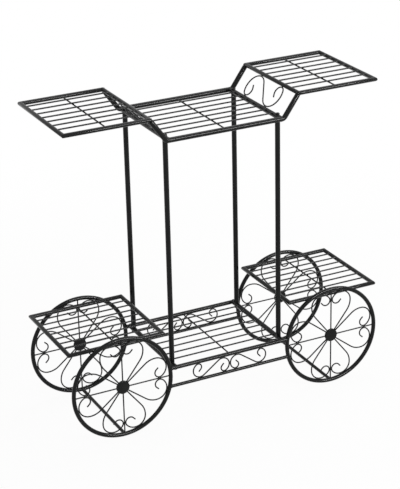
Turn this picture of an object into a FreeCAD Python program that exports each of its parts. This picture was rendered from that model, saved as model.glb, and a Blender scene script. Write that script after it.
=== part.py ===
import FreeCAD
import Part
import math
import os

# Flower cart stand: four scrolled wheels carry a low tray, four posts rise from the
# tray to a crown shelf, and a raised wing shelf leans out from each end of the crown.
# A small shelf lies between the wheels at each end. Everything is welded or bolted.
#
# Millimetres. X runs along the cart, Y across it, Z up. The origin is on the floor,
# under the middle. The front is -Y.

os.makedirs("parts", exist_ok=True)

Vector = FreeCAD.Vector
X_AXIS = Vector(1, 0, 0)
Y_AXIS = Vector(0, 1, 0)
Z_AXIS = Vector(0, 0, 1)

# ---- stock sizes ----
post_tube = 12.7          # posts, crown tubes and end rails
post_wall = 1.2
shelf_tube = 10.5         # wing and wheel shelf frames, tray upper rails, wheel rims
light_tube = 8.5          # tray lower rails and floor ties
wire = 3.4                # shelf wires, spokes and scrolls
weld = 0.4                # how far a wire end sinks into the tube that it is welded to

# ---- overall layout ----
total_height = 800.0
rail_y = 132.0            # long rails of the crown, wings and tray

wing_z = total_height - shelf_tube / 2
wing_ridge_x = 195.5      # inner, raised end of a wing shelf
wing_outer_x = 408.0

crown_z = 738.0
crown_bend_x = 155.0      # where the crown tubes turn up towards the wings
crown_bend_radius = 11.0
end_rail_x = 149.0

post_x = end_rail_x
post_y = 112.0

tray_z = 151.5
tray_low_z = 102.5

wheel_x = 291.0
wheel_y = rail_y            # the tray's rails end on the rims
rim_radius = 128.0        # to the middle of the rim tube
wheel_z = rim_radius + shelf_tube / 2
hub_radius = 17.0
hub_thickness = 6.0

wheel_shelf_z = 245.5
wheel_shelf_inner_x = 176.5
wheel_shelf_outer_x = 420.5
wheel_shelf_y = wheel_y - shelf_tube   # its rails touch the inner faces of the rims

shelf_wire_count = 7

# ---- how finely bent and small pieces are drawn ----
tube_sides = 12           # bent tubes, posts and end rails
rim_sides = 8
rim_chords = 36
wire_sides = 4
fastener_sides = 8
bend_chord = 30.0         # degrees of a tube's bend that one flat chord spans
scroll_chord = 30.0       # the same for a scroll's arcs

# ---- wheel scrolls: a stem, three arcs that tighten, and a short straight tail ----
stem_angle = 38.0         # from the spoke that the scroll curls against
shoulder_radius = 45.0
head_radius = 28.0
curl_radius = 12.0
curl_reach = 98.0         # from the hub's centre to the curl's centre, along the spoke
curl_end_angle = 228.0
curl_tail = 7.0

# ---- S scrolls: centre of the large arc, both radii and the tail ----
wing_scroll = {"reach": 43.0, "large": 33.8, "small": 15.0, "end": 215.0, "tail": 8.5}
tray_scroll = {"reach": 31.0, "large": 18.8, "small": 9.2, "end": 222.0, "tail": 8.0}

# ---- bolts that join the posts to the crown and the tray ----
bolt_radius = 3.0
bolt_hole_radius = 3.25
bolt_length = 34.0
bolt_head_radius = 5.5
bolt_head_height = 3.6
bolt_head_edge = 1.2      # the upright edge below the dome
insert_length = 20.0


def save(name, shape):
    shape.exportStep("parts/" + name + ".step")


def group(solids):
    return Part.makeCompound(solids)


def mirrored(shape, normal):
    return shape.mirror(Vector(0, 0, 0), normal)


def bar(start, end, diameter):
    """Round bar or capped tube between two points."""
    run = end - start
    return Part.makeCylinder(diameter / 2, run.Length, start, run)


def flat_sided_section(centre, heading, up, radius, sides):
    """Closed outline square to the heading, with flats facing up, down and sideways."""
    across = heading.cross(up).normalize()
    corner_radius = radius / math.cos(math.pi / sides)
    corners = []
    for index in range(sides):
        angle = math.pi * (2 * index + 1) / sides
        offset = across * (corner_radius * math.cos(angle)) + up * (corner_radius * math.sin(angle))
        corners.append(centre + offset)
    return Part.makePolygon(corners + corners[:1])


def prism(start, end, up, radius, sides):
    """Straight bar with flat sides, its across-flats size twice the radius."""
    run = end - start
    return Part.Face(flat_sided_section(start, run, up, radius, sides)).extrude(run)


def wire_bar(start, end, up):
    return prism(start, end, up, wire / 2, wire_sides)


def swept(points, up, radius, sides):
    """Flat-sided bar mitred along a run of points that all lie square to up."""
    heading = points[1] - points[0]
    section = flat_sided_section(points[0], heading, up, radius, sides)
    return Part.makePolygon(points).makePipeShell([section], True, False, 1)


def arc_points(centre, start, end, normal, step):
    """Points along the short arc from start to end, one for each step of turn."""
    turn = math.degrees((start - centre).getAngle(end - centre))
    chords = max(1, math.ceil(turn / step - 0.01))
    spin = normal if (start - centre).cross(end - centre).dot(normal) > 0 else normal * -1
    points = []
    for index in range(chords + 1):
        rotation = FreeCAD.Rotation(spin, turn * index / chords)
        points.append(centre + rotation.multVec(start - centre))
    return points


def bend_points(before, corner, after, normal, bend_radius):
    """Points that round one corner of a tube's route."""
    incoming = (corner - before).normalize()
    outgoing = (after - corner).normalize()
    turn = incoming.getAngle(outgoing)
    setback = bend_radius * math.tan(turn / 2)
    inward = (outgoing - incoming).normalize()
    centre = corner + inward * (bend_radius / math.cos(turn / 2))
    return arc_points(centre, corner - incoming * setback, corner + outgoing * setback, normal, bend_chord)


def bent_tube(points, normal, diameter, bend_radius):
    """Tube along straight runs joined by bends of one radius."""
    route = [points[0]]
    for before, corner, after in zip(points, points[1:], points[2:]):
        route += bend_points(before, corner, after, normal, bend_radius)
    route.append(points[-1])
    return swept(route, normal, diameter / 2, tube_sides)


def loop_frame(inner_x, outer_x, half_width, height, diameter):
    """Rectangular frame with mitred corners, closed in the middle of a long side."""
    corners = [
        Vector(outer_x, -half_width, height),
        Vector(outer_x, half_width, height),
        Vector(inner_x, half_width, height),
        Vector(inner_x, -half_width, height),
    ]
    seam = (corners[0] + corners[3]) * 0.5
    return swept([seam] + corners + [seam], Z_AXIS, diameter / 2, tube_sides)


# ---- scroll outlines, drawn in a plane of their own as (along, up) ----

def on_circle(centre, radius, degrees):
    angle = math.radians(degrees)
    return (centre[0] + radius * math.cos(angle), centre[1] + radius * math.sin(angle))


def arc_run(centre, radius, start_angle, end_angle):
    """Points along an arc, one for each step of turn."""
    chords = math.ceil(abs(end_angle - start_angle) / scroll_chord)
    step = (end_angle - start_angle) / chords
    return [on_circle(centre, radius, start_angle + step * index) for index in range(chords + 1)]


def direction_angle(origin, target):
    return math.degrees(math.atan2(target[1] - origin[1], target[0] - origin[0]))


def tail_end(centre, radius, degrees, length):
    """Straight end that leaves an anticlockwise arc along its tangent."""
    start = on_circle(centre, radius, degrees)
    return [on_circle(start, length, degrees + 90)]


def wheel_scroll_outline():
    """Scroll below the spoke that runs along +X, from the hub to the curl's tail."""
    rim_contact = rim_radius - shelf_tube / 2 - wire / 2
    head_distance = rim_contact - head_radius
    curl_centre = (curl_reach, -curl_radius - wire)
    curl_distance = math.hypot(*curl_centre)
    gap = head_radius - curl_radius
    spread = math.acos((head_distance ** 2 + curl_distance ** 2 - gap ** 2) / (2 * head_distance * curl_distance))
    head_angle = math.degrees(math.atan2(curl_centre[1], curl_centre[0]) - spread)
    head_centre = on_circle((0, 0), head_distance, head_angle)

    # The shoulder arc touches the stem's line and the head arc from outside it.
    stem = math.radians(stem_angle)
    inward = (math.sin(stem), math.cos(stem))
    head_height = head_centre[0] * inward[0] + head_centre[1] * inward[1]
    offset = shoulder_radius - head_radius
    rise = shoulder_radius - head_height
    back = math.sqrt(offset ** 2 - rise ** 2)
    shoulder_centre = (
        head_centre[0] + rise * inward[0] - back * math.cos(stem),
        head_centre[1] + rise * inward[1] + back * math.sin(stem),
    )
    head_start_angle = direction_angle(shoulder_centre, head_centre)
    curl_start_angle = direction_angle(head_centre, curl_centre)
    return (
        [on_circle((0, 0), hub_radius - weld, -stem_angle)]
        + arc_run(shoulder_centre, shoulder_radius, -90 - stem_angle, head_start_angle)
        + arc_run(head_centre, head_radius, head_start_angle, curl_start_angle)[1:]
        + arc_run(curl_centre, curl_radius, curl_start_angle, curl_end_angle)[1:]
        + tail_end(curl_centre, curl_radius, curl_end_angle, curl_tail)
    )


def s_scroll_half(sizes, half_height):
    """Right head of an S scroll, from the end of the straight stem to the tail."""
    large_centre = (sizes["reach"], sizes["large"] - half_height)
    small_height = half_height - sizes["small"]
    gap = sizes["large"] - sizes["small"]
    small_centre = (
        sizes["reach"] + math.sqrt(gap ** 2 - (small_height - large_centre[1]) ** 2),
        small_height,
    )
    centre_angle = direction_angle((0, 0), large_centre)
    reach = math.hypot(*large_centre)
    stem_slope = math.degrees(math.asin(sizes["large"] / reach)) - centre_angle
    joint_angle = direction_angle(large_centre, small_centre)
    return (
        arc_run(large_centre, sizes["large"], -90 - stem_slope, joint_angle)
        + arc_run(small_centre, sizes["small"], joint_angle, sizes["end"])[1:]
        + tail_end(small_centre, sizes["small"], sizes["end"], sizes["tail"])
    )


def s_scroll_outline(sizes, half_height):
    """Whole S scroll: the left half is the right half turned by half a turn."""
    right = s_scroll_half(sizes, half_height)
    left = [(-along, -up) for along, up in reversed(right)]
    return left + right


def scroll_solid(outline, origin, along, up):
    """Wire bent along the outline, in the plane of the two directions."""
    points = [origin + along * point[0] + up * point[1] for point in outline]
    return swept(points, along.cross(up), wire / 2, wire_sides)


# ---- shelf wires ----

def wire_rows(first_x, last_x, half_width, tube_radius, height):
    """Wires along X, evenly spread between the inner faces of the two long rails."""
    clear = half_width - tube_radius
    pitch = 2 * clear / (shelf_wire_count + 1)
    rows = []
    for index in range(shelf_wire_count):
        y = -clear + pitch * (index + 1)
        rows.append(wire_bar(Vector(first_x, y, height), Vector(last_x, y, height), Z_AXIS))
    return group(rows)


def cross_wire(x, half_width, tube_radius, height):
    """One wire along Y that carries the rows from below."""
    end_y = half_width - tube_radius + weld
    return wire_bar(Vector(x, -end_y, height), Vector(x, end_y, height), Z_AXIS)


def shelf_wires(name, inner_x, outer_x, end_radius, half_width, rail_radius, rail_height):
    """Rows and cross wire of one shelf, with the rows flush with the top of the rails."""
    row_height = rail_height + rail_radius - wire / 2
    drop = row_height - rail_height
    reach_in = math.sqrt(end_radius ** 2 - drop ** 2) - weld
    rows = wire_rows(inner_x + reach_in, outer_x - reach_in, half_width, rail_radius, row_height)
    cross = cross_wire((inner_x + outer_x) / 2, half_width, rail_radius, row_height - wire)
    return {name + "_wires": rows, name + "_cross_wire": cross}


# ---- crown ----

def crown_parts():
    ridge = Vector(wing_ridge_x, 0, wing_z)
    bend = Vector(crown_bend_x, 0, crown_z)
    rise = (ridge - bend).normalize()
    tip = ridge - rise * (shelf_tube / 2)
    parts = {}
    for name, y in (("crown_front_tube", -rail_y), ("crown_rear_tube", rail_y)):
        points = [
            Vector(-tip.x, y, tip.z),
            Vector(-bend.x, y, bend.z),
            Vector(bend.x, y, bend.z),
            Vector(tip.x, y, tip.z),
        ]
        parts[name] = bent_tube(points, Y_AXIS, post_tube, crown_bend_radius)
    for name, x in (("crown_left_end_rail", -end_rail_x), ("crown_right_end_rail", end_rail_x)):
        parts[name] = end_rail(x, crown_z, post_tube)
    parts.update(shelf_wires("crown", -end_rail_x, end_rail_x, post_tube / 2, rail_y, post_tube / 2, crown_z))
    return parts


def end_bar(x, height, reach):
    return prism(Vector(x, -reach, height), Vector(x, reach, height), Z_AXIS, post_tube / 2, tube_sides)


def end_rail(x, height, long_rail_tube):
    """Rail between the long rails, with two upright holes for the post bolts."""
    rail = end_bar(x, height, rail_y - long_rail_tube / 2 + weld)
    for y in (-post_y, post_y):
        low = Vector(x, y, height - post_tube)
        high = Vector(x, y, height + post_tube)
        rail = rail.cut(prism(low, high, Y_AXIS, bolt_hole_radius, fastener_sides))
    return rail


# ---- wings ----

def wing_parts():
    frame = loop_frame(wing_ridge_x, wing_outer_x, rail_y, wing_z, shelf_tube)
    parts = {"right_wing_frame": frame}
    parts.update(shelf_wires("right_wing", wing_ridge_x, wing_outer_x, shelf_tube / 2, rail_y, shelf_tube / 2, wing_z))

    # The panel scroll fills the slanted gap between the crown end rail and the ridge.
    foot = Vector(end_rail_x, 0, crown_z)
    ridge = Vector(wing_ridge_x, 0, wing_z)
    slope = (ridge - foot).normalize()
    low = foot + slope * (post_tube / 2)
    high = ridge - slope * (shelf_tube / 2)
    half_height = (high - low).Length / 2 - wire / 2
    outline = s_scroll_outline(wing_scroll, half_height)
    parts["right_wing_scroll"] = scroll_solid(outline, (low + high) * 0.5, Y_AXIS * -1, slope)

    for name in list(parts):
        parts[name.replace("right", "left")] = mirrored(parts[name], X_AXIS)
    return parts


# ---- posts and their fastenings ----

def post_parts():
    parts = {}
    for x_name, x in (("left", -post_x), ("right", post_x)):
        top_rail = end_bar(x, crown_z, rail_y)
        foot_rail = end_bar(x, tray_z, rail_y)
        for y_name, y in (("front", -post_y), ("rear", post_y)):
            foot = Vector(x, y, tray_z)
            top = Vector(x, y, crown_z)
            post = prism(foot, top, Y_AXIS, post_tube / 2, tube_sides)
            bore = prism(foot, top, Y_AXIS, post_tube / 2 - post_wall, tube_sides)
            parts[y_name + "_" + x_name + "_post"] = post.cut(bore).cut(top_rail).cut(foot_rail)
    return parts


def post_corners():
    return [(x, y) for x in (-post_x, post_x) for y in (-post_y, post_y)]


def button_bolt(seat, inward):
    """Bolt with a low domed head on the seat and its shank pointing inward."""
    crown = seat - inward * bolt_head_height
    head = prism(seat, crown, Y_AXIS, bolt_head_radius, fastener_sides)
    top_edges = [edge for edge in head.Edges if abs(edge.CenterOfMass.z - crown.z) < weld]
    domed = head.makeChamfer(bolt_head_height - bolt_head_edge, top_edges)
    shank = prism(seat, seat + inward * bolt_length, Y_AXIS, bolt_radius, fastener_sides)
    return domed.fuse(shank)


def fastening_parts():
    """Bolts through the end rails, and the threaded inserts in the post ends."""
    top_seat = crown_z + post_tube / 2
    foot_seat = tray_z - post_tube / 2
    top_bolts = []
    foot_bolts = []
    inserts = []
    bore_radius = post_tube / 2 - post_wall
    insert_radius = bore_radius * math.cos(math.pi / fastener_sides)
    for x, y in post_corners():
        top_bolts.append(button_bolt(Vector(x, y, top_seat), Z_AXIS * -1))
        foot_bolts.append(button_bolt(Vector(x, y, foot_seat), Z_AXIS))
        for low in (crown_z - post_tube / 2 - insert_length, tray_z + post_tube / 2):
            base = Vector(x, y, low)
            top = base + Z_AXIS * insert_length
            plug = prism(base, top, Y_AXIS, insert_radius, fastener_sides)
            inserts.append(plug.cut(prism(base, top, Y_AXIS, bolt_radius, fastener_sides)))
    return {
        "post_top_bolts": group(top_bolts),
        "post_foot_bolts": group(foot_bolts),
        "post_inserts": group(inserts),
    }


# ---- wheels ----

def wheel_rim():
    """Rim about its own centre: sections set round the hoop and joined by flat faces."""
    section = flat_sided_section(Vector(rim_radius, 0, 0), Z_AXIS, Y_AXIS, shelf_tube / 2, rim_sides)
    sections = []
    for index in range(rim_chords):
        turned = section.copy()
        turned.rotate(Vector(0, 0, 0), Y_AXIS, 360 * index / rim_chords)
        sections.append(turned)
    return Part.makeLoft(sections, True, True, True)


def wheel_spokes():
    """Four straight spokes, from the hub's edge to the inside of the rim."""
    inner = hub_radius - weld
    outer = rim_radius - shelf_tube / 2 + weld
    spokes = []
    for quarter in range(4):
        spoke = wire_bar(Vector(inner, 0, 0), Vector(outer, 0, 0), Y_AXIS)
        spoke.rotate(Vector(0, 0, 0), Y_AXIS, -90 * quarter)
        spokes.append(spoke)
    return spokes


def wheel_scrolls():
    """Eight scrolls, a mirrored pair about each spoke."""
    outline = wheel_scroll_outline()
    scrolls = []
    for up in (Z_AXIS, Z_AXIS * -1):
        for quarter in range(4):
            scroll = scroll_solid(outline, Vector(0, 0, 0), X_AXIS, up)
            scroll.rotate(Vector(0, 0, 0), Y_AXIS, -90 * quarter)
            scrolls.append(scroll)
    return scrolls


def wheel_hub():
    start = Vector(0, -hub_thickness / 2, 0)
    return Part.makeCylinder(hub_radius, hub_thickness, start, Y_AXIS)


def at_wheel(shape, x, y):
    placed = shape.copy()
    placed.translate(Vector(x, y, wheel_z))
    return placed


def wheel_parts():
    """The wheels of one side share their nodes, as pairs of separate solids."""
    rim = wheel_rim()
    hub = wheel_hub()
    spokes = wheel_spokes()
    scrolls = wheel_scrolls()
    parts = {}
    for side, y in (("front", -wheel_y), ("rear", wheel_y)):
        centres = (-wheel_x, wheel_x)
        parts[side + "_wheel_rims"] = group([at_wheel(rim, x, y) for x in centres])
        parts[side + "_wheel_hubs"] = group([at_wheel(hub, x, y) for x in centres])
        parts[side + "_wheel_spokes"] = group([at_wheel(spoke, x, y) for x in centres for spoke in spokes])
        parts[side + "_wheel_scrolls"] = group([at_wheel(scroll, x, y) for x in centres for scroll in scrolls])
    tie_end = wheel_y - shelf_tube / 2
    tie_z = wheel_z - rim_radius
    for name, x in (("left_floor_tie", -wheel_x), ("right_floor_tie", wheel_x)):
        parts[name] = bar(Vector(x, -tie_end, tie_z), Vector(x, tie_end, tie_z), light_tube)
    return parts


# ---- tray ----

def rim_side_x(height):
    """Where the outside of the rim faces the tray at a height above the floor."""
    return wheel_x - math.sqrt((rim_radius + shelf_tube / 2) ** 2 - (height - wheel_z) ** 2)


def tray_parts():
    parts = {}
    for side, y in (("front", -rail_y), ("rear", rail_y)):
        rims = [at_wheel(wheel_rim(), x, math.copysign(wheel_y, y)) for x in (-wheel_x, wheel_x)]
        for level, height, tube in (("upper", tray_z, shelf_tube), ("lower", tray_low_z, light_tube)):
            reach = rim_side_x(height) + 2 * weld
            rail = bar(Vector(-reach, y, height), Vector(reach, y, height), tube)
            parts["tray_" + side + "_" + level + "_rail"] = rail.cut(rims[0]).cut(rims[1])
    for name, x in (("tray_left_end_rail", -end_rail_x), ("tray_right_end_rail", end_rail_x)):
        parts[name] = end_rail(x, tray_z, shelf_tube)
    parts.update(shelf_wires("tray", -end_rail_x, end_rail_x, post_tube / 2, rail_y, shelf_tube / 2, tray_z))

    # Two S scrolls stand between the upper and lower rails and touch in the middle.
    top = tray_z - shelf_tube / 2
    bottom = tray_low_z + light_tube / 2
    half_height = (top - bottom) / 2 - wire / 2
    outline = s_scroll_outline(tray_scroll, half_height)
    centre_x = tray_scroll["reach"] + tray_scroll["large"] + wire / 2
    for side, y in (("front", -rail_y), ("rear", rail_y)):
        middle = (top + bottom) / 2
        left = scroll_solid(outline, Vector(-centre_x, y, middle), X_AXIS * -1, Z_AXIS)
        parts["tray_" + side + "_scrolls"] = group([left, mirrored(left, X_AXIS)])
    return parts


# ---- wheel shelves ----

def wheel_shelf_parts():
    frame = loop_frame(wheel_shelf_inner_x, wheel_shelf_outer_x, wheel_shelf_y, wheel_shelf_z, shelf_tube)
    parts = {"right_wheel_shelf_frame": frame}
    half = shelf_tube / 2
    parts.update(shelf_wires("right_wheel_shelf", wheel_shelf_inner_x, wheel_shelf_outer_x, half,
                             wheel_shelf_y, half, wheel_shelf_z))
    for name in list(parts):
        parts[name.replace("right", "left")] = mirrored(parts[name], X_AXIS)
    return parts


for make in (crown_parts, wing_parts, post_parts, fastening_parts, wheel_parts, tray_parts, wheel_shelf_parts):
    for node, solid in make().items():
        save(node, solid)
        print(node, "solids", len(solid.Solids), "volume", round(solid.Volume / 1000, 2), "cm3")
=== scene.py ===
import math

import bmesh
import bpy
from mathutils import Matrix, Vector


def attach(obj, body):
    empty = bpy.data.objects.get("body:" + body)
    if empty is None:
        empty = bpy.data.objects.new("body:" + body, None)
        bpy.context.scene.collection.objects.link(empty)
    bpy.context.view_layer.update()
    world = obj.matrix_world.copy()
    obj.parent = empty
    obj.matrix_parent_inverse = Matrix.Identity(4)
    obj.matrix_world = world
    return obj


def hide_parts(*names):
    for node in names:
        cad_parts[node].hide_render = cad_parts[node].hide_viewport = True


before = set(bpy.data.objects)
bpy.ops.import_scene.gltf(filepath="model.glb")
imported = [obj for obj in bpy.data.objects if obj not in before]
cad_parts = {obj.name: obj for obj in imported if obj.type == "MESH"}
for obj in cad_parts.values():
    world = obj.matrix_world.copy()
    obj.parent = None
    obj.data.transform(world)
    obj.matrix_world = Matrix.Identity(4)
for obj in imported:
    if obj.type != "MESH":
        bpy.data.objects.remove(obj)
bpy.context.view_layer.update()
print("frame loaded:", len(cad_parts), "nodes")

# Everything is written in millimetres and made in metres. +X is the right end of the cart,
# -Y its front, and the floor is at zero.
mm = 0.001
xAxis = Vector((1, 0, 0))
yAxis = Vector((0, 1, 0))
zAxis = Vector((0, 0, 1))
sameSpot = 0.01          # points closer than this are one
ends = (("left", -1), ("right", 1))
sides = (("front", -1), ("rear", 1))

# steel stock, by what it is used for
stock = {
    "post": 6.35,          # radius of the posts, crown tubes and end rails
    "shelf": 5.25,         # radius of the shelf frames, tray upper rails and wheel rims
    "light": 4.25,         # radius of the tray lower rails and floor ties
    "wire": 1.7,           # radius of the spokes and scrolls
    "deckWire": 1.92,      # radius of the shelf wires, which are a little stronger
    "tubeSides": 28,
    "wireSides": 12,
    "tubeBendStep": 5,     # degrees from one ring of points to the next
    "wireBendStep": 9,
    "wireEndRound": 0.5,
    "mitreRound": 0.7,
}


def point(x, y, z):
    return Vector((x, y, z)) * mm


def onCircle(centre, radius, degrees):
    angle = math.radians(degrees)
    return (centre[0] + radius * math.cos(angle), centre[1] + radius * math.sin(angle))


def angleTo(start, end):
    return math.degrees(math.atan2(end[1] - start[1], end[0] - start[0]))


def vertsOf(geom):
    return [item for item in geom if isinstance(item, bmesh.types.BMVert)]


def ringEdges(verts):
    inRing = set(verts)
    edges = [edge for vert in verts for edge in vert.link_edges if edge.other_vert(vert) in inRing]
    return list(dict.fromkeys(edges))


def ringVerts(ring):
    return list(dict.fromkeys(vert for edge in ring for vert in edge.verts))


def turnTo(heading):
    return heading.to_track_quat("Z", "Y").to_matrix().to_4x4()


def startTube(bm, place, heading, radius, count):
    lay = Matrix.Translation(place) @ turnTo(heading)
    made = bmesh.ops.create_circle(bm, segments=count, radius=radius * mm, matrix=lay)
    return ringEdges(made["verts"])


def goStraight(bm, ring, run):
    grown = vertsOf(bmesh.ops.extrude_edge_only(bm, edges=ring)["geom"])
    bmesh.ops.translate(bm, verts=grown, vec=run)
    return ringEdges(grown)


def goRound(bm, ring, centre, axis, degrees, stepDegrees):
    steps = max(2, math.ceil(abs(degrees) / stepDegrees))
    made = bmesh.ops.spin(bm, geom=ring, cent=centre, axis=axis, dvec=(0, 0, 0),
                          angle=math.radians(degrees), steps=steps, use_merge=False, use_duplicate=False)
    return ringEdges(vertsOf(made["geom_last"]))


def closeEnd(bm, ring, rounding=0.0):
    bmesh.ops.edgeloop_fill(bm, edges=ring)
    if rounding:
        bmesh.ops.bevel(bm, geom=ring, offset=rounding * mm, offset_type="OFFSET", segments=2,
                        profile=0.5, affect="EDGES", material=-1)


def straightBar(bm, start, end, radius, count):
    first = startTube(bm, start, end - start, radius, count)
    last = goStraight(bm, first, end - start)
    closeEnd(bm, first)
    closeEnd(bm, last)


def copyGeom(bm, geom):
    return bmesh.ops.duplicate(bm, geom=geom)["geom"]


def allGeom(bm):
    return bm.verts[:] + bm.edges[:] + bm.faces[:]


def mirrorEnds(bm):
    bmesh.ops.mirror(bm, geom=allGeom(bm), matrix=Matrix.Identity(4),
                     merge_dist=sameSpot * mm, axis="X")


def newPiece(bm, name, material, nodes=(), sharpAbove=40):
    bmesh.ops.recalc_face_normals(bm, faces=bm.faces)
    for face in bm.faces:
        face.smooth = True
    mesh = bpy.data.meshes.new(name)
    bm.to_mesh(mesh)
    bm.free()
    mesh.set_sharp_from_angle(angle=math.radians(sharpAbove))
    mesh.materials.append(material)
    piece = bpy.data.objects.new(name, mesh)
    bpy.context.scene.collection.objects.link(piece)
    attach(piece, "root")
    if nodes:
        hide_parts(*nodes)


def linearColour(hexColour):
    parts = [int(hexColour[i:i + 2], 16) / 255 for i in (1, 3, 5)]
    linear = [part / 12.92 if part <= 0.04045 else ((part + 0.055) / 1.055) ** 2.4 for part in parts]
    return linear + [1.0]


def addNode(tree, kind, inputs, **settings):
    node = tree.nodes.new(kind)
    for name, value in settings.items():
        setattr(node, name, value)
    for name, value in inputs.items():
        if isinstance(value, bpy.types.NodeSocket):
            tree.links.new(value, node.inputs[name])
        else:
            node.inputs[name].default_value = value
    return node


def newMaterial(name):
    material = bpy.data.materials.new(name)
    material.use_nodes = True
    tree = material.node_tree
    tree.nodes.clear()
    return material, tree


def perMillimetres(size):          # noise scale for a pattern of that size
    return 1000.0 / size


# Polyester powder coat, sprayed dry and baked: black, satin, with the slight orange peel
# that the melted grains leave and a shade that drifts a little along the tubes.
powder = {
    "darkColour": "#0d0e0e",
    "paleColour": "#151616",
    "drift": 45.0,            # millimetres from one patch of shade to the next
    "driftLow": 0.35,         # noise levels between which the shade goes from dark to pale
    "driftHigh": 0.65,
    "peel": 1.6,              # waves of the orange peel
    "peelDepth": 0.004,
    "grain": 0.45,            # bumps of the single grains
    "grainDepth": 0.0015,
    "roughFrom": 0.3,         # and those between which it goes from smooth to rough
    "roughTo": 0.7,
    "roughLow": 0.14,
    "roughHigh": 0.20,
    "ior": 1.5,
    "mirrorShare": 0.15,      # matting grains scatter part of the mirror light
}


def powderCoat():
    material, tree = newMaterial("powderCoatedSteel")
    place = addNode(tree, "ShaderNodeTexCoord", {}).outputs["Object"]
    drift = addNode(tree, "ShaderNodeTexNoise",
                    {"Vector": place, "Scale": perMillimetres(powder["drift"]), "Detail": 3.0})
    peel = addNode(tree, "ShaderNodeTexNoise",
                   {"Vector": place, "Scale": perMillimetres(powder["peel"]), "Detail": 1.0})
    grain = addNode(tree, "ShaderNodeTexNoise",
                    {"Vector": place, "Scale": perMillimetres(powder["grain"]), "Detail": 2.0})
    shade = addNode(tree, "ShaderNodeValToRGB", {"Fac": drift.outputs["Fac"]})
    shade.color_ramp.elements[0].position = powder["driftLow"]
    shade.color_ramp.elements[0].color = linearColour(powder["darkColour"])
    shade.color_ramp.elements[1].position = powder["driftHigh"]
    shade.color_ramp.elements[1].color = linearColour(powder["paleColour"])
    gloss = addNode(tree, "ShaderNodeMapRange",
                    {"Value": drift.outputs["Fac"],
                     "From Min": powder["roughFrom"], "From Max": powder["roughTo"],
                     "To Min": powder["roughLow"], "To Max": powder["roughHigh"]})
    peelBump = addNode(tree, "ShaderNodeBump",
                       {"Height": peel.outputs["Fac"], "Strength": 1.0,
                        "Distance": powder["peelDepth"] * mm})
    grainBump = addNode(tree, "ShaderNodeBump",
                        {"Height": grain.outputs["Fac"], "Strength": 1.0,
                         "Distance": powder["grainDepth"] * mm, "Normal": peelBump.outputs["Normal"]})
    skin = addNode(tree, "ShaderNodeBsdfPrincipled",
                   {"Base Color": shade.outputs["Color"], "Roughness": gloss.outputs["Result"],
                    "IOR": powder["ior"], "Specular IOR Level": powder["mirrorShare"],
                    "Normal": grainBump.outputs["Normal"]})
    addNode(tree, "ShaderNodeOutputMaterial", {"Surface": skin.outputs["BSDF"]})
    return material


# Blackened steel bolts, forged and dipped in hot oxide: dark metal, a little blotchy.
oxide = {
    "darkColour": "#1b1b1c",
    "paleColour": "#2b2a2a",
    "blotch": 2.5,
    "blotchLow": 0.4,      # noise levels between which a blotch goes from dark to pale
    "blotchHigh": 0.65,
    "roughLow": 0.28,
    "roughHigh": 0.46,
}


def blackOxide():
    material, tree = newMaterial("blackOxideSteel")
    place = addNode(tree, "ShaderNodeTexCoord", {}).outputs["Object"]
    blotch = addNode(tree, "ShaderNodeTexNoise",
                     {"Vector": place, "Scale": perMillimetres(oxide["blotch"]), "Detail": 3.0})
    shade = addNode(tree, "ShaderNodeValToRGB", {"Fac": blotch.outputs["Fac"]})
    shade.color_ramp.elements[0].position = oxide["blotchLow"]
    shade.color_ramp.elements[0].color = linearColour(oxide["darkColour"])
    shade.color_ramp.elements[1].position = oxide["blotchHigh"]
    shade.color_ramp.elements[1].color = linearColour(oxide["paleColour"])
    gloss = addNode(tree, "ShaderNodeMapRange",
                    {"Value": blotch.outputs["Fac"],
                     "To Min": oxide["roughLow"], "To Max": oxide["roughHigh"]})
    skin = addNode(tree, "ShaderNodeBsdfPrincipled",
                   {"Base Color": shade.outputs["Color"], "Roughness": gloss.outputs["Result"],
                    "Metallic": 1.0})
    addNode(tree, "ShaderNodeOutputMaterial", {"Surface": skin.outputs["BSDF"]})
    return material


# Plain turned steel of the threaded inserts, with faint rings from the lathe along them.
turned = {
    "darkColour": "#8b8a88",
    "paleColour": "#a5a4a1",
    "ringPitch": 3.1416,
    "ringWaver": 0.4,
    "roughness": 0.34,
}


def turnedSteel():
    material, tree = newMaterial("turnedSteel")
    place = addNode(tree, "ShaderNodeTexCoord", {}).outputs["Object"]
    # the texture's bands repeat after tau / 20 of its scaled coordinate
    rings = addNode(tree, "ShaderNodeTexWave",
                    {"Vector": place, "Scale": perMillimetres(turned["ringPitch"]) * math.tau / 20,
                     "Distortion": turned["ringWaver"]},
                    wave_type="BANDS", bands_direction="Z")
    shade = addNode(tree, "ShaderNodeValToRGB", {"Fac": rings.outputs["Fac"]})
    shade.color_ramp.elements[0].color = linearColour(turned["darkColour"])
    shade.color_ramp.elements[1].color = linearColour(turned["paleColour"])
    skin = addNode(tree, "ShaderNodeBsdfPrincipled",
                   {"Base Color": shade.outputs["Color"], "Metallic": 1.0,
                    "Roughness": turned["roughness"]})
    addNode(tree, "ShaderNodeOutputMaterial", {"Surface": skin.outputs["BSDF"]})
    return material


coat = powderCoat()
boltSteel = blackOxide()
insertSteel = turnedSteel()
print("materials made")


def coatedPiece(bm, name, *nodes):
    newPiece(bm, name, coat, nodes)


# Small fillets of weld under the coat. A ring goes round a tube that ends on another tube,
# and a spot sits where a wire touches something.
bead = {
    "radius": 1.5,
    "sunk": 0.7,          # how far the bead's middle lies inside the tube's surface
    "sides": 8,
    "steps": 36,
    "ripples": 11,
    "ripple": 0.12,
}


def addTo(bm, part):
    carrier = bpy.data.meshes.new("carrier")
    part.to_mesh(carrier)
    part.free()
    bm.from_mesh(carrier)
    bpy.data.meshes.remove(carrier)


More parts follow.
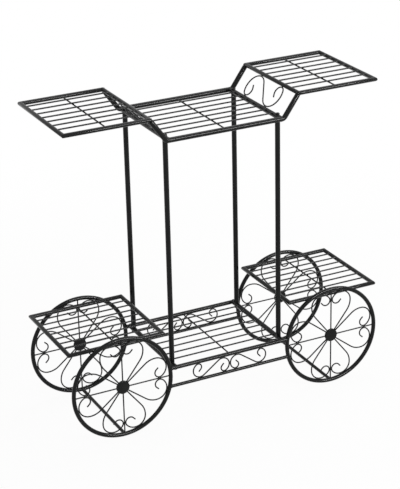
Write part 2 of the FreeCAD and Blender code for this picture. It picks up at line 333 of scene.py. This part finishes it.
def weldRing(bm, place, heading, tubeRadius, acrossOther, otherRadius):
    part = bmesh.new()
    outward = turnTo(heading) @ xAxis
    tangent = turnTo(heading) @ yAxis
    ringRadius = tubeRadius - bead["sunk"]
    section = startTube(part, place + outward * ringRadius * mm, tangent, bead["radius"], bead["sides"])
    bmesh.ops.spin(part, geom=section, cent=place, axis=heading, dvec=(0, 0, 0),
                   angle=math.tau, steps=bead["steps"], use_merge=True, use_duplicate=False)
    # the bead ripples along its length and dips where the other tube curves away
    for vert in part.verts:
        away = vert.co - place
        along = away.dot(heading)
        flat = away - heading * along
        middle = flat.normalized() * ringRadius * mm
        angle = math.atan2(flat.dot(tangent), flat.dot(outward))
        swell = 1 + bead["ripple"] * math.sin(angle * bead["ripples"])
        side = min(abs(away.dot(acrossOther)) / mm, otherRadius)
        dip = (otherRadius - math.sqrt(otherRadius ** 2 - side ** 2)) * mm
        vert.co = place + middle + (flat - middle) * swell + heading * (along * swell + dip)
    addTo(bm, part)


def weldSpot(bm, place, radii, heading=None):
    size = Matrix.Diagonal((radii[0] * mm, radii[1] * mm, radii[2] * mm, 1.0))
    turn = turnTo(heading) if heading else Matrix.Identity(4)
    lay = Matrix.Translation(place) @ turn @ size
    bmesh.ops.create_icosphere(bm, subdivisions=2, radius=1.0, matrix=lay)


# The crown is two long tubes, which turn up at both ends to carry the wings, and two end rails.
crown = {
    "railY": 132.0,        # of the long tubes
    "z": 738.0,
    "endX": 149.0,         # of the end rails
    "bendX": 155.0,        # where the long tubes turn up
    "bendRadius": 11.0,
    "tipBite": 0.6,        # how far their ends sink into the wing's frame
    "tipRound": 1.2,
}
wing = {
    "railY": crown["railY"],
    "z": 800.0 - stock["shelf"],
    "ridgeX": 195.5,       # inner edge of the wing
    "outerX": 408.0,
}
wingRise = Vector((wing["ridgeX"] - crown["bendX"], 0, wing["z"] - crown["z"])).normalized()


def crownTube(bm, y):
    turn = math.degrees(math.atan2(wingRise.z, wingRise.x))
    setback = crown["bendRadius"] * math.tan(math.radians(turn / 2))
    start = point(0, y, crown["z"])
    bendStart = point(crown["bendX"] - setback, y, crown["z"])
    middle = bendStart + point(0, 0, crown["bendRadius"])
    bendEnd = point(crown["bendX"], y, crown["z"]) + wingRise * setback * mm
    tipGap = stock["shelf"] - crown["tipBite"]
    tip = point(wing["ridgeX"], y, wing["z"]) - wingRise * tipGap * mm
    ring = startTube(bm, start, xAxis, stock["post"], stock["tubeSides"])
    ring = goStraight(bm, ring, bendStart - start)
    ring = goRound(bm, ring, middle, -yAxis, turn, stock["tubeBendStep"])
    ring = goStraight(bm, ring, tip - bendEnd)
    closeEnd(bm, ring, crown["tipRound"])
    mirrorEnds(bm)


for sideName, side in sides:
    bm = bmesh.new()
    crownTube(bm, side * crown["railY"])
    coatedPiece(bm, "crown" + sideName.capitalize() + "Tube", "crown_" + sideName + "_tube")

for endName, end in ends:
    bm = bmesh.new()
    x = end * crown["endX"]
    straightBar(bm, point(x, -crown["railY"], crown["z"]), point(x, crown["railY"], crown["z"]),
                stock["post"], stock["tubeSides"])
    coatedPiece(bm, endName + "CrownRail", "crown_" + endName + "_end_rail")

bm = bmesh.new()
for end in (-1, 1):
    for side in (-1, 1):
        weldRing(bm, point(end * crown["endX"], side * (crown["railY"] - stock["post"]), crown["z"]),
                 yAxis * side, stock["post"], zAxis, stock["post"])
coatedPiece(bm, "crownWelds")
print("crown made")


# A shelf frame is four mitred lengths of tube.
def mitreRing(ring, corner, direction, planeNormal):
    for vert in ringVerts(ring):
        vert.co -= direction * ((vert.co - corner).dot(planeNormal) / direction.dot(planeNormal))


def mitredLoop(bm, corners, radius):
    count = len(corners)
    runs = [(corners[(i + 1) % count] - corners[i]).normalized() for i in range(count)]
    planes = [(runs[i - 1] + runs[i]).normalized() for i in range(count)]
    ring = startTube(bm, corners[0], runs[0], radius, stock["tubeSides"])
    mitreRing(ring, corners[0], runs[0], planes[0])
    rings = [ring]
    for i in range(1, count):
        ring = goStraight(bm, ring, corners[i] - corners[i - 1])
        mitreRing(ring, corners[i], runs[i - 1], planes[i])
        rings.append(ring)
    bmesh.ops.bridge_loops(bm, edges=rings[-1] + rings[0])
    mitres = [edge for ring in rings for edge in ring]
    bmesh.ops.bevel(bm, geom=mitres, offset=stock["mitreRound"] * mm, offset_type="OFFSET",
                    segments=2, profile=0.5, affect="EDGES", material=-1)


def frameLoop(bm, innerX, outerX, halfWidth, z):
    corners = [point(outerX, -halfWidth, z), point(outerX, halfWidth, z),
               point(innerX, halfWidth, z), point(innerX, -halfWidth, z)]
    mitredLoop(bm, corners, stock["shelf"])


# A deck is seven wires flush with the tops of the rails, and one across below them.
deck = {
    "wires": 7,
    "sink": 1.2,           # how far a wire's end goes into the rail
    "endSpot": (2.35, 2.35, 1.88),
    "endSpotDrop": 0.5,
    "crossSpot": (2.1, 2.1, 1.2),
}


def deckPiece(name, nodes, endsX, halfWidth, endRadius, railRadius, railZ):
    bm = bmesh.new()
    wire = stock["deckWire"]
    leftX, rightX = sorted(endsX)
    z = railZ + railRadius - wire
    reach = math.sqrt(endRadius ** 2 - (z - railZ) ** 2)
    clear = halfWidth - railRadius
    pitch = 2 * clear / (deck["wires"] + 1)
    startX = leftX + reach
    endX = rightX - reach
    crossX = (leftX + rightX) / 2
    crossZ = z - 2 * wire
    for row in range(deck["wires"]):
        y = -clear + pitch * (row + 1)
        straightBar(bm, point(startX - deck["sink"], y, z), point(endX + deck["sink"], y, z),
                    wire, stock["wireSides"])
        weldSpot(bm, point(startX, y, z - deck["endSpotDrop"]), deck["endSpot"])
        weldSpot(bm, point(endX, y, z - deck["endSpotDrop"]), deck["endSpot"])
        weldSpot(bm, point(crossX, y, z - wire), deck["crossSpot"])
    crossReach = clear + deck["sink"]
    straightBar(bm, point(crossX, -crossReach, crossZ), point(crossX, crossReach, crossZ),
                wire, stock["wireSides"])
    for side in (-1, 1):
        weldSpot(bm, point(crossX, side * clear, crossZ), deck["endSpot"])
    coatedPiece(bm, name, *nodes)


deckPiece("crownDeck", ("crown_wires", "crown_cross_wire"), (-crown["endX"], crown["endX"]),
          crown["railY"], stock["post"], stock["post"], crown["z"])


# A scroll is swept flat, with X to the right and Z up. Its moves are ("line", end) or
# ("arc", centre, degrees), anticlockwise.
def flat(spot):
    return point(spot[0], 0, spot[1])


def headingAt(spot, move):
    if move[0] == "line":
        return (flat(move[1]) - flat(spot)).normalized()
    away = flat(spot) - flat(move[1])
    return (-yAxis).cross(away).normalized() * math.copysign(1, move[2])


def sweepScroll(bm, start, moves):
    first = startTube(bm, flat(start), headingAt(start, moves[0]), stock["wire"], stock["wireSides"])
    ring = first
    spot = start
    for move in moves:
        if move[0] == "line":
            ring = goStraight(bm, ring, flat(move[1]) - flat(spot))
            spot = move[1]
        else:
            centre = move[1]
            ring = goRound(bm, ring, flat(centre), -yAxis, move[2], stock["wireBendStep"])
            radius = math.dist(spot, centre)
            spot = onCircle(centre, radius, angleTo(centre, spot) + move[2])
    return first, ring


# An S scroll runs from its own middle through a large arc and a small one to a tail. The other
# half is the same, turned round. Weld spots sit where it touches the rails.
def sScroll(bm, shape, halfHeight):
    large = (shape["reach"], shape["large"] - halfHeight)
    smallUp = halfHeight - shape["small"]
    gap = shape["large"] - shape["small"]
    small = (shape["reach"] + math.sqrt(gap ** 2 - (smallUp - large[1]) ** 2), smallUp)
    slope = math.degrees(math.asin(shape["large"] / math.hypot(*large))) - angleTo((0, 0), large)
    joint = angleTo(large, small)
    stemEnd = onCircle(large, shape["large"], -90 - slope)
    curlEnd = onCircle(small, shape["small"], shape["end"])
    tail = onCircle(curlEnd, shape["tail"], shape["end"] + 90)
    moves = [("line", stemEnd),
             ("arc", large, joint + 90 + slope),
             ("arc", small, shape["end"] - joint),
             ("line", tail)]
    last = sweepScroll(bm, (0, 0), moves)[1]
    closeEnd(bm, last, stock["wireEndRound"])
    half = copyGeom(bm, allGeom(bm))
    bmesh.ops.rotate(bm, verts=vertsOf(half), cent=(0, 0, 0), matrix=Matrix.Rotation(math.pi, 3, "Y"))
    bmesh.ops.remove_doubles(bm, verts=bm.verts, dist=sameSpot * mm)
    touches = [(shape["reach"], -halfHeight), (small[0], halfHeight),
               (-shape["reach"], halfHeight), (-small[0], -halfHeight)]
    for along, up in touches:
        weldSpot(bm, point(along, 0, up + math.copysign(shape["spotShift"], up)), shape["spot"])


# The wings, with a scroll in the slanted panel between the crown's end rail and each inner edge.
wingScroll = {
    "reach": 43.0,         # from the scroll's middle across to the large arc's centre
    "large": 33.8,
    "small": 15.0,
    "end": 215.0,          # degrees, where the small arc runs out
    "tail": 8.5,
    "spot": (3.2, 1.9, 1.7),
    "spotShift": 0.8,
}


def panelScroll(bm):
    foot = point(crown["endX"], 0, crown["z"])
    ridge = point(wing["ridgeX"], 0, wing["z"])
    slope = (ridge - foot).normalized()
    low = foot + slope * stock["post"] * mm
    high = ridge - slope * stock["shelf"] * mm
    sScroll(bm, wingScroll, (high - low).length / mm / 2 - stock["wire"])
    along = -yAxis
    lie = Matrix((along, slope.cross(along), slope)).transposed().to_4x4()
    bmesh.ops.transform(bm, verts=bm.verts, matrix=Matrix.Translation((low + high) / 2) @ lie)


for endName, end in ends:
    inner = end * wing["ridgeX"]
    outer = end * wing["outerX"]
    bm = bmesh.new()
    frameLoop(bm, inner, outer, wing["railY"], wing["z"])
    coatedPiece(bm, endName + "WingFrame", endName + "_wing_frame")
    deckPiece(endName + "WingDeck", (endName + "_wing_wires", endName + "_wing_cross_wire"),
              (inner, outer), wing["railY"], stock["shelf"], stock["shelf"], wing["z"])
    bm = bmesh.new()
    panelScroll(bm)
    if end < 0:
        bmesh.ops.scale(bm, vec=(-1, 1, 1), verts=bm.verts)
    coatedPiece(bm, endName + "WingScroll", endName + "_wing_scroll")

bm = bmesh.new()
for side in (-1, 1):
    corner = point(wing["ridgeX"], side * crown["railY"], wing["z"])
    weldRing(bm, corner - wingRise * stock["shelf"] * mm,
             wingRise, stock["shelf"], wingRise.cross(yAxis), stock["shelf"])
mirrorEnds(bm)
coatedPiece(bm, "wingWelds")
print("wings made")

# Four posts stand on the tray's end rails and carry the crown's.
post = {
    "x": crown["endX"],
    "y": 112.0,
    "top": crown["z"],
    "foot": 151.5,
}

for sideName, side in sides:
    for endName, end in ends:
        bm = bmesh.new()
        x = end * post["x"]
        y = side * post["y"]
        straightBar(bm, point(x, y, post["foot"]), point(x, y, post["top"]),
                    stock["post"], stock["tubeSides"])
        coatedPiece(bm, sideName + endName.capitalize() + "Post", sideName + "_" + endName + "_post")

# The bolts show a domed head with a six-sided socket, above the crown and below the tray.
bolt = {
    "head": 5.5,           # radius
    "edge": 1.2,           # height of the straight side
    "height": 3.6,
    "crown": 2.9,          # radius of the flat on top
    "domeSteps": 5,
    "domeStep": 14,        # degrees
    "socket": 1.9,         # from the middle to a flat
    "socketDepth": 1.8,
    "flats": 6,
    "sides": 24,
    "sunk": 0.3,           # how far the head sinks into the tube, which curves away under it
    "sharpAbove": 30,
}


def boltHead(bm, seat, outward):
    # rings of (radius, height) from the seat over the dome to the mouth of the socket
    shoulder = bolt["head"] - bolt["crown"]
    domeRise = bolt["height"] - bolt["edge"]
    levels = [(bolt["head"], 0.0), (bolt["head"], bolt["edge"])]
    for step in range(1, bolt["domeSteps"] + 1):
        angle = math.radians(step * bolt["domeStep"])
        levels.append((bolt["crown"] + shoulder * math.cos(angle),
                       bolt["edge"] + domeRise * math.sin(angle)))
    levels += [(bolt["crown"], bolt["height"]), (bolt["socket"], bolt["height"])]
    part = bmesh.new()
    first = startTube(part, Vector((0, 0, 0)), zAxis, bolt["head"], bolt["sides"])
    ring = first
    for (radius, z), (nextRadius, nextZ) in zip(levels, levels[1:]):
        ring = goStraight(part, ring, point(0, 0, nextZ - z))
        share = nextRadius / radius
        bmesh.ops.scale(part, vec=(share, share, 1), verts=ringVerts(ring))
    # the flats for the key
    facet = 360 / bolt["flats"]
    for vert in ringVerts(ring):
        turn = (math.degrees(math.atan2(vert.co.y, vert.co.x)) + facet / 2) % facet - facet / 2
        reach = bolt["socket"] / math.cos(math.radians(turn)) * mm
        vert.co.xy = vert.co.xy.normalized() * reach
    ring = goStraight(part, ring, point(0, 0, -bolt["socketDepth"]))
    closeEnd(part, ring)
    closeEnd(part, first)
    place = Matrix.Translation(seat) @ Matrix.Diagonal((1, 1, outward, 1))
    bmesh.ops.transform(part, verts=part.verts, matrix=place)
    addTo(bm, part)


for name, node, seatZ, outward in (("postTopBolts", "post_top_bolts", crown["z"] + stock["post"], 1),
                                   ("postFootBolts", "post_foot_bolts", post["foot"] - stock["post"], -1)):
    bm = bmesh.new()
    for end in (-1, 1):
        for side in (-1, 1):
            seat = point(end * post["x"], side * post["y"], seatZ - outward * bolt["sunk"])
            boltHead(bm, seat, outward)
    newPiece(bm, name, boltSteel, [node], bolt["sharpAbove"])
print("posts made")

# Each wheel is a rim, a hub disc, four spokes and eight scrolls. They are made about the origin
# and put in their places last.
wheel = {
    "x": 291.0,
    "y": crown["railY"],
    "z": 128.0 + stock["shelf"],
    "radius": 128.0,       # to the middle of the rim tube
    "rimSides": 20,
    "rimSteps": 128,
    "hub": 17.0,           # radius
    "hubThick": 6.0,
    "hubRound": 1.2,
    "hubSides": 56,
    "hubBite": 1.0,        # how far spokes and stems go into the hub
    "rimBite": 1.5,        # how far spokes go into the rim
    "hubSpot": (1.9, 2.2, 1.9),
    "rimSpot": (2.0, 2.3, 2.3),
}
rimInside = wheel["radius"] - stock["shelf"]
wheelScroll = {
    "stemAngle": 38.0,     # degrees between the stem and the spoke
    "shoulder": 45.0,      # radius of the arc that leaves the stem
    "head": 28.0,          # of the one that touches the rim
    "curl": 12.0,          # of the one that touches the spoke
    "curlReach": 98.0,     # along the spoke to the curl's centre
    "curlEnd": 228.0,      # degrees, where the curl runs out
    "tail": 7.0,
    "rimSpot": (1.7, 1.9, 3.6),
    "curlSpot": (2.6, 1.7, 1.5),
}


def atWheels(bm, side):
    second = vertsOf(copyGeom(bm, allGeom(bm)))
    first = [vert for vert in bm.verts if vert not in set(second)]
    bmesh.ops.translate(bm, verts=first, vec=point(-wheel["x"], side * wheel["y"], wheel["z"]))
    bmesh.ops.translate(bm, verts=second, vec=point(wheel["x"], side * wheel["y"], wheel["z"]))


def turnQuarters(bm):
    quarter = allGeom(bm)
    for turn in range(1, 4):
        copied = copyGeom(bm, quarter)
        bmesh.ops.rotate(bm, verts=vertsOf(copied), cent=(0, 0, 0),
                         matrix=Matrix.Rotation(math.radians(90 * turn), 3, "Y"))


def rimLoop(bm):
    ring = startTube(bm, point(wheel["radius"], 0, 0), zAxis, stock["shelf"], wheel["rimSides"])
    bmesh.ops.spin(bm, geom=ring, cent=(0, 0, 0), axis=yAxis, dvec=(0, 0, 0), angle=math.tau,
                   steps=wheel["rimSteps"], use_merge=True, use_duplicate=False)


def hubDisc(bm):
    radius = wheel["hub"] * mm
    bmesh.ops.create_cone(bm, cap_ends=True, segments=wheel["hubSides"], radius1=radius, radius2=radius,
                          depth=wheel["hubThick"] * mm, matrix=Matrix.Rotation(math.pi / 2, 4, "X"))
    rims = [edge for edge in bm.edges if abs(edge.verts[0].co.y - edge.verts[1].co.y) < sameSpot * mm]
    bmesh.ops.bevel(bm, geom=rims, offset=wheel["hubRound"] * mm, offset_type="OFFSET", segments=3,
                    profile=0.5, affect="EDGES", material=-1)


def spokeBar(bm):
    straightBar(bm, point(wheel["hub"] - wheel["hubBite"], 0, 0), point(rimInside + wheel["rimBite"], 0, 0),
                stock["wire"], stock["wireSides"])
    weldSpot(bm, point(wheel["hub"], 0, 0), wheel["hubSpot"])
    weldSpot(bm, point(rimInside, 0, 0), wheel["rimSpot"])


# Centres of a scroll's three arcs. The curl lies on the spoke and the head on the rim, and the
# shoulder touches both the stem and the head.
def scrollCentres():
    curl = (wheelScroll["curlReach"], -wheelScroll["curl"] - 2 * stock["wire"])
    curlDistance = math.hypot(*curl)
    headReach = rimInside - stock["wire"] - wheelScroll["head"]
    gap = wheelScroll["head"] - wheelScroll["curl"]
    spread = math.acos((headReach ** 2 + curlDistance ** 2 - gap ** 2) / (2 * headReach * curlDistance))
    head = onCircle((0, 0), headReach, math.degrees(math.atan2(curl[1], curl[0]) - spread))
    stem = math.radians(wheelScroll["stemAngle"])
    inward = (math.sin(stem), math.cos(stem))
    rise = wheelScroll["shoulder"] - (head[0] * inward[0] + head[1] * inward[1])
    back = math.sqrt((wheelScroll["shoulder"] - wheelScroll["head"]) ** 2 - rise ** 2)
    shoulder = (head[0] + rise * inward[0] - back * math.cos(stem),
                head[1] + rise * inward[1] + back * math.sin(stem))
    return shoulder, head, curl


def scrollPair(bm):
    shoulder, head, curl = scrollCentres()
    shoulderStart = -90 - wheelScroll["stemAngle"]
    headStart = angleTo(shoulder, head)
    curlStart = angleTo(head, curl)
    curlEnd = onCircle(curl, wheelScroll["curl"], wheelScroll["curlEnd"])
    tail = onCircle(curlEnd, wheelScroll["tail"], wheelScroll["curlEnd"] + 90)
    start = onCircle((0, 0), wheel["hub"] - wheel["hubBite"], -wheelScroll["stemAngle"])
    moves = [("line", onCircle(shoulder, wheelScroll["shoulder"], shoulderStart)),
             ("arc", shoulder, headStart - shoulderStart),
             ("arc", head, curlStart - headStart),
             ("arc", curl, wheelScroll["curlEnd"] - curlStart),
             ("line", tail)]
    first, last = sweepScroll(bm, start, moves)
    closeEnd(bm, first)
    closeEnd(bm, last, stock["wireEndRound"])
    rimTouch = onCircle((0, 0), rimInside, angleTo((0, 0), head))
    weldSpot(bm, flat(rimTouch), wheelScroll["rimSpot"], Vector((-rimTouch[1], 0, rimTouch[0])))
    weldSpot(bm, point(curl[0], 0, -stock["wire"]), wheelScroll["curlSpot"])
    hubTouch = onCircle((0, 0), wheel["hub"], -wheelScroll["stemAngle"])
    weldSpot(bm, flat(hubTouch), wheel["hubSpot"])
    mirrored = copyGeom(bm, allGeom(bm))
    bmesh.ops.scale(bm, vec=(1, 1, -1), verts=vertsOf(mirrored))


for sideName, side in sides:
    bm = bmesh.new()
    rimLoop(bm)
    atWheels(bm, side)
    coatedPiece(bm, sideName + "WheelRims", sideName + "_wheel_rims")
    bm = bmesh.new()
    hubDisc(bm)
    atWheels(bm, side)
    coatedPiece(bm, sideName + "WheelHubs", sideName + "_wheel_hubs")
    bm = bmesh.new()
    spokeBar(bm)
    turnQuarters(bm)
    atWheels(bm, side)
    coatedPiece(bm, sideName + "WheelSpokes", sideName + "_wheel_spokes")
    bm = bmesh.new()
    scrollPair(bm)
    turnQuarters(bm)
    atWheels(bm, side)
    coatedPiece(bm, sideName + "WheelScrolls", sideName + "_wheel_scrolls")
print("wheels made")

# The tray hangs between the wheels. Its rails end on the rims and its end rails under the posts.
tray = {
    "z": post["foot"],
    "lowZ": 102.5,
    "railY": wheel["y"],
    "endX": post["x"],
    "bite": 2.0,           # how far a rail's end goes into what carries it
}
trayScroll = {
    "reach": 31.0,
    "large": 18.8,
    "small": 9.2,
    "end": 222.0,
    "tail": 8.0,
    "spot": (3.0, 1.8, 1.6),
    "spotShift": 0.9,
    "pairSpot": (1.5, 1.7, 2.4),
}


def rimFaceX(z):
    return wheel["x"] - math.sqrt((wheel["radius"] + stock["shelf"]) ** 2 - (z - wheel["z"]) ** 2)


# Two S scrolls stand between the rails, one the mirror of the other, and touch in the middle.
def trayScrolls(bm, y):
    top = tray["z"] - stock["shelf"]
    bottom = tray["lowZ"] + stock["light"]
    middleZ = (top + bottom) / 2
    halfHeight = (top - bottom) / 2 - stock["wire"]
    centreX = trayScroll["reach"] + trayScroll["large"] + stock["wire"]
    sScroll(bm, trayScroll, halfHeight)
    bmesh.ops.scale(bm, vec=(-1, 1, 1), verts=bm.verts)
    bmesh.ops.translate(bm, verts=bm.verts, vec=point(-centreX, y, middleZ))
    weldSpot(bm, point(0, y, middleZ + halfHeight - trayScroll["large"]), trayScroll["pairSpot"])
    mirrored = copyGeom(bm, allGeom(bm))
    bmesh.ops.scale(bm, vec=(-1, 1, 1), verts=vertsOf(mirrored))


for endName, end in ends:
    bm = bmesh.new()
    x = end * tray["endX"]
    reach = tray["railY"] - stock["shelf"] + tray["bite"]
    straightBar(bm, point(x, -reach, tray["z"]), point(x, reach, tray["z"]),
                stock["post"], stock["tubeSides"])
    coatedPiece(bm, endName + "TrayRail", "tray_" + endName + "_end_rail")

for sideName, side in sides:
    y = side * tray["railY"]
    for level, z, radius in (("upper", tray["z"], stock["shelf"]), ("lower", tray["lowZ"], stock["light"])):
        bm = bmesh.new()
        reach = rimFaceX(z) + tray["bite"]
        straightBar(bm, point(-reach, y, z), point(reach, y, z), radius, stock["tubeSides"])
        coatedPiece(bm, "tray" + sideName.capitalize() + level.capitalize() + "Rail",
                    "tray_" + sideName + "_" + level + "_rail")
    bm = bmesh.new()
    trayScrolls(bm, y)
    coatedPiece(bm, "tray" + sideName.capitalize() + "Scrolls", "tray_" + sideName + "_scrolls")

deckPiece("trayDeck", ("tray_wires", "tray_cross_wire"), (-tray["endX"], tray["endX"]),
          tray["railY"], stock["post"], stock["shelf"], tray["z"])

bm = bmesh.new()
for side in (-1, 1):
    weldRing(bm, point(tray["endX"], side * (tray["railY"] - stock["shelf"]), tray["z"]),
             yAxis * side, stock["post"], zAxis, stock["shelf"])
    for z, radius in ((tray["z"], stock["shelf"]), (tray["lowZ"], stock["light"])):
        weldRing(bm, point(rimFaceX(z), side * tray["railY"], z), xAxis, radius, yAxis, stock["shelf"])
mirrorEnds(bm)
coatedPiece(bm, "trayWelds")
print("tray made")

# A small shelf and a floor tie join each front wheel to the rear one.
wheelShelf = {
    "z": 245.5,
    "innerX": 176.5,
    "outerX": 420.5,
    "railY": wheel["y"] - 2 * stock["shelf"],     # its rails touch the rims from inside
    "rimSpot": (5.5, 1.7, 2.6),
}
tie = {
    "z": wheel["z"] - wheel["radius"],
    "bite": 1.0,
}

for endName, end in ends:
    inner = end * wheelShelf["innerX"]
    outer = end * wheelShelf["outerX"]
    bm = bmesh.new()
    frameLoop(bm, inner, outer, wheelShelf["railY"], wheelShelf["z"])
    coatedPiece(bm, endName + "WheelShelfFrame", endName + "_wheel_shelf_frame")
    deckPiece(endName + "WheelShelfDeck",
              (endName + "_wheel_shelf_wires", endName + "_wheel_shelf_cross_wire"), (inner, outer),
              wheelShelf["railY"], stock["shelf"], stock["shelf"], wheelShelf["z"])
    bm = bmesh.new()
    x = end * wheel["x"]
    reach = wheel["y"] - stock["shelf"] + tie["bite"]
    straightBar(bm, point(x, -reach, tie["z"]), point(x, reach, tie["z"]),
                stock["light"], stock["tubeSides"])
    coatedPiece(bm, endName + "FloorTie", endName + "_floor_tie")

# the shelf rails touch each rim twice, and the ties meet the rims at the floor
bm = bmesh.new()
touchX = math.sqrt(wheel["radius"] ** 2 - (wheelShelf["z"] - wheel["z"]) ** 2)
for side in (-1, 1):
    touchY = side * (wheel["y"] - stock["shelf"])
    for step in (-1, 1):
        weldSpot(bm, point(wheel["x"] + step * touchX, touchY, wheelShelf["z"]), wheelShelf["rimSpot"])
    weldRing(bm, point(wheel["x"], touchY, tie["z"]), yAxis * side, stock["light"], zAxis, stock["shelf"])
mirrorEnds(bm)
coatedPiece(bm, "wheelWelds")

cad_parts["post_inserts"].data.materials.clear()
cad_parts["post_inserts"].data.materials.append(insertSteel)
print("wheel shelves made")

# A pale painted floor. What the camera and mirror reflections see of it turns to plain white
# away from the cart, so that it stays pale without more light on the cart. Near the cart
# it keeps its soft shadow.
floor = {
    "size": 30.0,          # metres
    "colour": "#f6f6f4",
    "roughness": 0.75,
    "paintGrain": 40.0,
    "paintDepth": 0.2,
    "nearWhite": 0.94,     # share of plain white within the near reach, all of it past the far one
    "nearReach": 0.55,     # metres
    "farReach": 1.9,
}


def whiteRays(tree, share):
    rays = addNode(tree, "ShaderNodeLightPath", {})
    seen = addNode(tree, "ShaderNodeMath",
                   {0: rays.outputs["Is Camera Ray"], 1: rays.outputs["Is Glossy Ray"]}, operation="MAXIMUM")
    seen = addNode(tree, "ShaderNodeMath",
                   {0: seen.outputs["Value"], 1: rays.outputs["Is Transmission Ray"]}, operation="MAXIMUM")
    white = addNode(tree, "ShaderNodeMath", {0: seen.outputs["Value"], 1: share}, operation="MULTIPLY")
    return white.outputs["Value"]


def floorPaint():
    material, tree = newMaterial("paleFloorPaint")
    place = addNode(tree, "ShaderNodeTexCoord", {}).outputs["Object"]
    mottle = addNode(tree, "ShaderNodeTexNoise",
                     {"Vector": place, "Scale": perMillimetres(floor["paintGrain"]), "Detail": 2.0})
    texture = addNode(tree, "ShaderNodeBump",
                      {"Height": mottle.outputs["Fac"], "Distance": floor["paintDepth"] * mm})
    paint = addNode(tree, "ShaderNodeBsdfPrincipled",
                    {"Base Color": linearColour(floor["colour"]), "Roughness": floor["roughness"],
                     "Normal": texture.outputs["Normal"]})
    white = addNode(tree, "ShaderNodeEmission", {"Color": (1, 1, 1, 1), "Strength": 1.0})
    away = addNode(tree, "ShaderNodeVectorMath", {0: place}, operation="LENGTH")
    share = addNode(tree, "ShaderNodeMapRange",
                    {"Value": away.outputs["Value"],
                     "From Min": floor["nearReach"], "From Max": floor["farReach"],
                     "To Min": floor["nearWhite"], "To Max": 1.0}, interpolation_type="SMOOTHSTEP")
    mixed = addNode(tree, "ShaderNodeMixShader",
                    {0: whiteRays(tree, share.outputs["Result"]), 1: paint.outputs["BSDF"],
                     2: white.outputs["Emission"]})
    addNode(tree, "ShaderNodeOutputMaterial", {"Surface": mixed.outputs["Shader"]})
    return material


bm = bmesh.new()
bmesh.ops.create_grid(bm, x_segments=1, y_segments=1, size=floor["size"] / 2)
mesh = bpy.data.meshes.new("floor")
bm.to_mesh(mesh)
bm.free()
mesh.materials.append(floorPaint())
ground = bpy.data.objects.new("floor", mesh)
bpy.context.scene.collection.objects.link(ground)

studio = {"roomLevel": 0.35, "whiteSeen": 1.0}
world = bpy.data.worlds.new("studio")
world.use_nodes = True
tree = world.node_tree
tree.nodes.clear()
room = addNode(tree, "ShaderNodeBackground", {"Color": (1, 1, 1, 1), "Strength": studio["roomLevel"]})
white = addNode(tree, "ShaderNodeBackground", {"Color": (1, 1, 1, 1), "Strength": studio["whiteSeen"]})
choice = addNode(tree, "ShaderNodeMixShader",
                 {0: whiteRays(tree, 1.0), 1: room.outputs["Background"], 2: white.outputs["Background"]})
addNode(tree, "ShaderNodeOutputWorld", {"Surface": choice.outputs["Shader"]})
bpy.context.scene.world = world

# Camera angles in degrees, distance and target in metres, lens and sensor in millimetres.
view = {
    "azimuth": -26.3164,
    "elevation": 23.1473,
    "roll": -1.3454,
    "distance": 4.1556,
    "target": (-0.0096, 0.0, 0.3984),
    "lens": 123.346,
    "sensor": 36.0,
    "farthest": 100.0,
}

# Softboxes: place and size in metres, and watts. The wide one and the strip share a place, from
# which they draw a light line along the tubes that run the length of the cart. The strip is
# seen only in the gloss, so that it adds no light to the rest.
softboxes = {
    "wideBox": {"at": (2.0, -3.9, 2.25), "size": (2.4, 0.7), "watts": 100, "diffuse": True},
    "lineStrip": {"at": (2.0, -3.9, 2.25), "size": (3.0, 0.45), "watts": 450, "diffuse": False},
    "topBox": {"at": (1.2, 0.5, 3.2), "size": (2.0, 2.0), "watts": 36, "diffuse": True},
    "leftBox": {"at": (-2.6, -1.3, 1.9), "size": (1.2, 1.2), "watts": 8, "diffuse": True},
}
for name, box in softboxes.items():
    light = bpy.data.lights.new(name, "AREA")
    light.shape = "RECTANGLE"
    light.size, light.size_y = box["size"]
    light.energy = box["watts"]
    lamp = bpy.data.objects.new(name, light)
    lamp.visible_diffuse = box["diffuse"]
    lamp.location = box["at"]
    aim = Vector(view["target"]) - Vector(box["at"])
    lamp.rotation_euler = aim.to_track_quat("-Z", "Y").to_euler()
    bpy.context.scene.collection.objects.link(lamp)

azimuth = math.radians(view["azimuth"])
elevation = math.radians(view["elevation"])
back = Vector((math.sin(azimuth) * math.cos(elevation),
               -math.cos(azimuth) * math.cos(elevation),
               math.sin(elevation)))
right = zAxis.cross(back).normalized()
roll = Matrix.Rotation(math.radians(view["roll"]), 3, "Z")
stand = Matrix((right, back.cross(right), back)).transposed() @ roll
camera = bpy.data.objects.new("camera", bpy.data.cameras.new("camera"))
camera.data.lens = view["lens"]
camera.data.sensor_width = view["sensor"]
camera.data.clip_end = view["farthest"]
camera.matrix_world = Matrix.Translation(Vector(view["target"]) + back * view["distance"]) @ stand.to_4x4()
bpy.context.scene.collection.objects.link(camera)
bpy.context.scene.camera = camera
bpy.context.scene.view_settings.view_transform = "Standard"
print("studio set")
